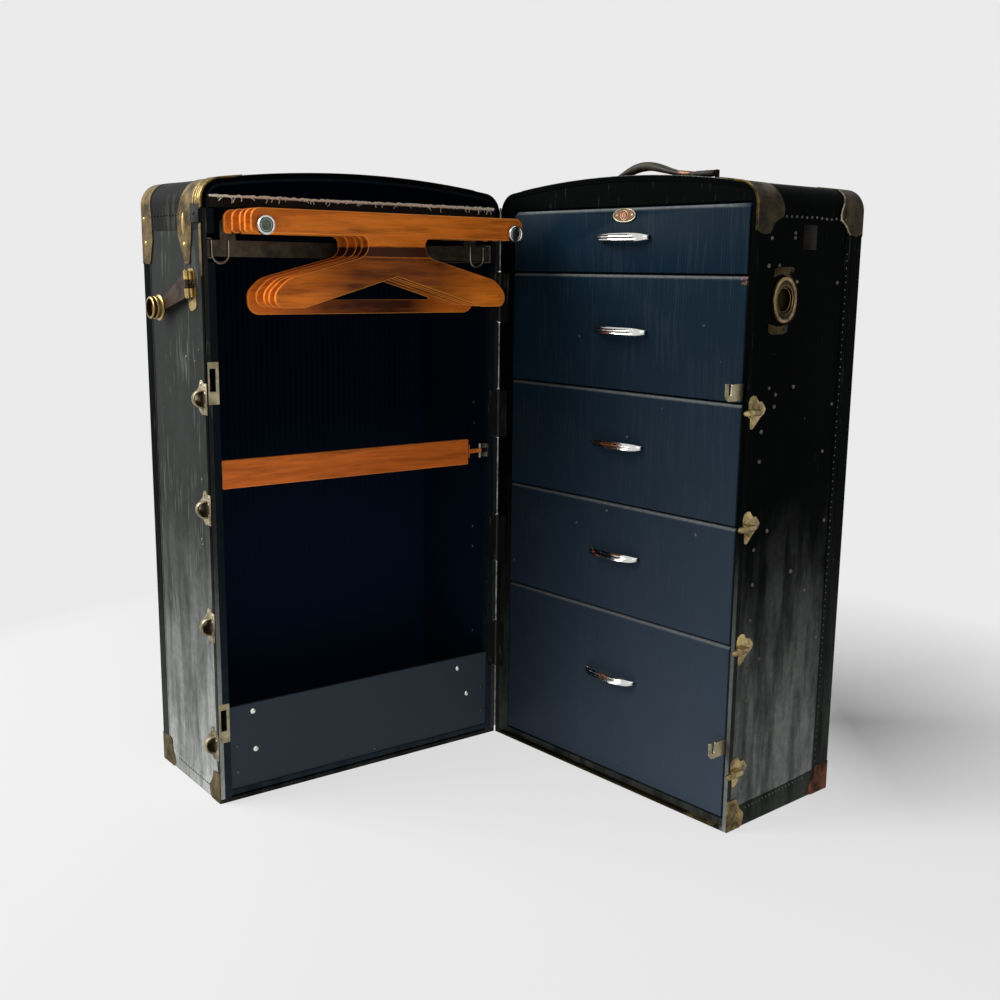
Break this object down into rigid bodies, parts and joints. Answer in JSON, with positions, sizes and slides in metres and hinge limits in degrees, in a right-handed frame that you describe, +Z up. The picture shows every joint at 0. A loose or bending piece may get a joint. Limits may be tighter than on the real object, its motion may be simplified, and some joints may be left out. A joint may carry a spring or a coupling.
{
  "type": "wardrobe trunk",
  "caption": "Wardrobe trunk standing open on end: a hanger trolley with wooden hangers in one half, a chest of navy drawers in the other, domed top, brass corners and hasp.",
  "frame": {"origin": "centre of the drawer half's underside, which stands on the floor", "axes": "+Z up; -Y is the way the drawers pull out; +X points to the latch side of the drawer half; the wardrobe half is hinged at the -X side and stands open by 94 degrees at rest"},
  "size_m": [0.8588, 0.8514, 1.06],
  "materials": {
    "shell": "matt, dyed fibre on plywood",
    "edge_fibre": "satin, hard fibre",
    "aged_brass": "worn",
    "steel": "dull",
    "black_metal": "satin, worn black paint",
    "chrome": "polished",
    "drawer_paint": "satin navy paint",
    "drawer_wood": "bare",
    "navy_cloth": "matt, fine stripe",
    "varnished_wood": "varnished",
    "frayed_cloth": "matt",
    "leather": "worn",
    "olive_paint": "satin",
    "copper_brass": "tarnished"
  },
  "bodies": {
    "drawer_half": {"drawer_case_back": "shell", "drawer_case_bottom": "shell", "drawer_case_top": "shell", "drawer_case_sides": "shell", "drawer_case_bindings": "edge_fibre", "drawer_case_brasswork": "aged_brass", "face_frame": "edge_fibre", "drawer_carcass": "drawer_paint", "hinge_leaves_and_pins": "black_metal", "dowels": "aged_brass", "lock_cup": "aged_brass", "hook_pins": "steel", "handle_staples": "aged_brass"},
    "drawer_1": {"drawer_1_front": "drawer_paint", "drawer_1_box": "drawer_wood", "drawer_1_pull": "chrome", "drawer_lock": "copper_brass"},
    "drawer_2": {"drawer_2_front": "drawer_paint", "drawer_2_box": "drawer_wood", "drawer_2_pull": "chrome"},
    "drawer_3": {"drawer_3_front": "drawer_paint", "drawer_3_box": "drawer_wood", "drawer_3_pull": "chrome"},
    "drawer_4": {"drawer_4_front": "drawer_paint", "drawer_4_box": "drawer_wood", "drawer_4_pull": "chrome"},
    "drawer_5": {"drawer_5_front": "drawer_paint", "drawer_5_box": "drawer_wood", "drawer_5_pull": "chrome"},
    "drawer_1_key": {"drawer_key_plug": "copper_brass"},
    "drawer_1_bolt": {"drawer_lock_bolt": "steel"},
    "upper_hook": {"upper_hook": "aged_brass"},
    "lower_hook": {"lower_hook": "aged_brass"},
    "carry_handle": {"handle_strap": "leather"},
    "wardrobe_half": {"wardrobe_case_back": "shell", "wardrobe_case_bottom": "shell", "wardrobe_case_top": "shell", "wardrobe_case_sides": "shell", "wardrobe_case_bindings": "edge_fibre", "wardrobe_case_brasswork": "aged_brass", "rim_strips": "edge_fibre", "wardrobe_lining": "navy_cloth", "wardrobe_hinge_leaves": "black_metal", "dowel_sockets": "aged_brass", "hook_keepers": "steel", "shoe_panel": "drawer_paint", "curtain_band": "frayed_cloth", "bar_brackets": "steel", "trolley_tracks": "olive_paint", "hasp_hinge": "aged_brass"},
    "retaining_bar": {"retaining_bar": "varnished_wood"},
    "trolley": {"trolley_frame": "olive_paint", "trolley_rails": "chrome"},
    "hanger_1": {"hanger_1": "varnished_wood"},
    "hanger_2": {"hanger_2": "varnished_wood"},
    "hanger_3": {"hanger_3": "varnished_wood"},
    "hanger_4": {"hanger_4": "varnished_wood"},
    "hanger_5": {"hanger_5": "varnished_wood"},
    "hasp": {"hasp_arm": "aged_brass"},
    "hasp_key": {"hasp_key_plug": "copper_brass"}
  },
  "joints": [
    {"name": "trunk_hinge", "type": "hinge", "parent": "drawer_half", "child": "wardrobe_half", "pos_m": [-0.2825, -0.1355, 0], "axis": [0, 0, -1], "range_deg": [-94, 11]},
    {"name": "drawer_1_slide", "type": "slide", "parent": "drawer_half", "child": "drawer_1", "axis": [0, -1, 0], "range_m": [0, 0.03]},
    {"name": "drawer_2_slide", "type": "slide", "parent": "drawer_half", "child": "drawer_2", "axis": [0, -1, 0], "range_m": [0, 0.065]},
    {"name": "drawer_3_slide", "type": "slide", "parent": "drawer_half", "child": "drawer_3", "axis": [0, -1, 0], "range_m": [0, 0.18]},
    {"name": "drawer_4_slide", "type": "slide", "parent": "drawer_half", "child": "drawer_4", "axis": [0, -1, 0], "range_m": [0, 0.18]},
    {"name": "drawer_5_slide", "type": "slide", "parent": "drawer_half", "child": "drawer_5", "axis": [0, -1, 0], "range_m": [0, 0.18]},
    {"name": "drawer_1_key_turn", "type": "hinge", "parent": "drawer_1", "child": "drawer_1_key", "pos_m": [0.0195, -0.1365, 0.962], "axis": [0, 1, 0], "range_deg": [0, 90]},
    {"name": "drawer_1_bolt_throw", "type": "slide", "parent": "drawer_1", "child": "drawer_1_bolt", "axis": [0, 0, 1], "range_m": [0, 0.006]},
    {"name": "upper_hook_turn", "type": "hinge", "parent": "drawer_half", "child": "upper_hook", "pos_m": [0.2711, -0.118, 0.7], "axis": [-1, 0, 0], "range_deg": [0, 12]},
    {"name": "lower_hook_turn", "type": "hinge", "parent": "drawer_half", "child": "lower_hook", "pos_m": [0.2711, -0.118, 0.143], "axis": [-1, 0, 0], "range_deg": [0, 12]},
    {"name": "carry_handle_swing", "type": "hinge", "parent": "drawer_half", "child": "carry_handle", "pos_m": [0, -0.017, 1.034], "axis": [1, 0, 0], "range_deg": [-70, 70]},
    {"name": "retaining_bar_swing", "type": "hinge", "parent": "wardrobe_half", "child": "retaining_bar", "pos_m": [-0.29153, -0.17146, 0.549], "axis": [0, 0, 1], "range_deg": [0, 25]},
    {"name": "trolley_slide", "type": "slide", "parent": "wardrobe_half", "child": "trolley", "axis": [0.9976, -0.0698, 0], "range_m": [-0.1701, 0.02]},
    {"name": "hanger_1_lift", "type": "slide", "parent": "trolley", "child": "hanger_1", "axis": [0, 0, 1], "range_m": [0, 0.04]},
    {"name": "hanger_2_lift", "type": "slide", "parent": "trolley", "child": "hanger_2", "axis": [0, 0, 1], "range_m": [0, 0.04]},
    {"name": "hanger_3_lift", "type": "slide", "parent": "trolley", "child": "hanger_3", "axis": [0, 0, 1], "range_m": [0, 0.04]},
    {"name": "hanger_4_lift", "type": "slide", "parent": "trolley", "child": "hanger_4", "axis": [0, 0, 1], "range_m": [0, 0.04]},
    {"name": "hanger_5_lift", "type": "slide", "parent": "trolley", "child": "hanger_5", "axis": [0, 0, 1], "range_m": [0, 0.04]},
    {"name": "hasp_swing", "type": "hinge", "parent": "wardrobe_half", "child": "hasp", "pos_m": [-0.36483, -0.70364, 0.846], "axis": [0.1198, -0.0084, -0.9928], "range_deg": [-180, 0]},
    {"name": "hasp_key_turn", "type": "hinge", "parent": "hasp", "child": "hasp_key", "pos_m": [-0.47916, -0.70567, 0.80669], "axis": [0.0698, 0.9976, 0], "range_deg": [0, 90]}
  ],
  "couplings": [
    {"joint": "trolley_slide", "follows": "trunk_hinge", "m_per_rad": 0.10362},
    {"joint": "drawer_1_bolt_throw", "follows": "drawer_1_key_turn", "m_per_rad": 0.0038197}
  ]
}
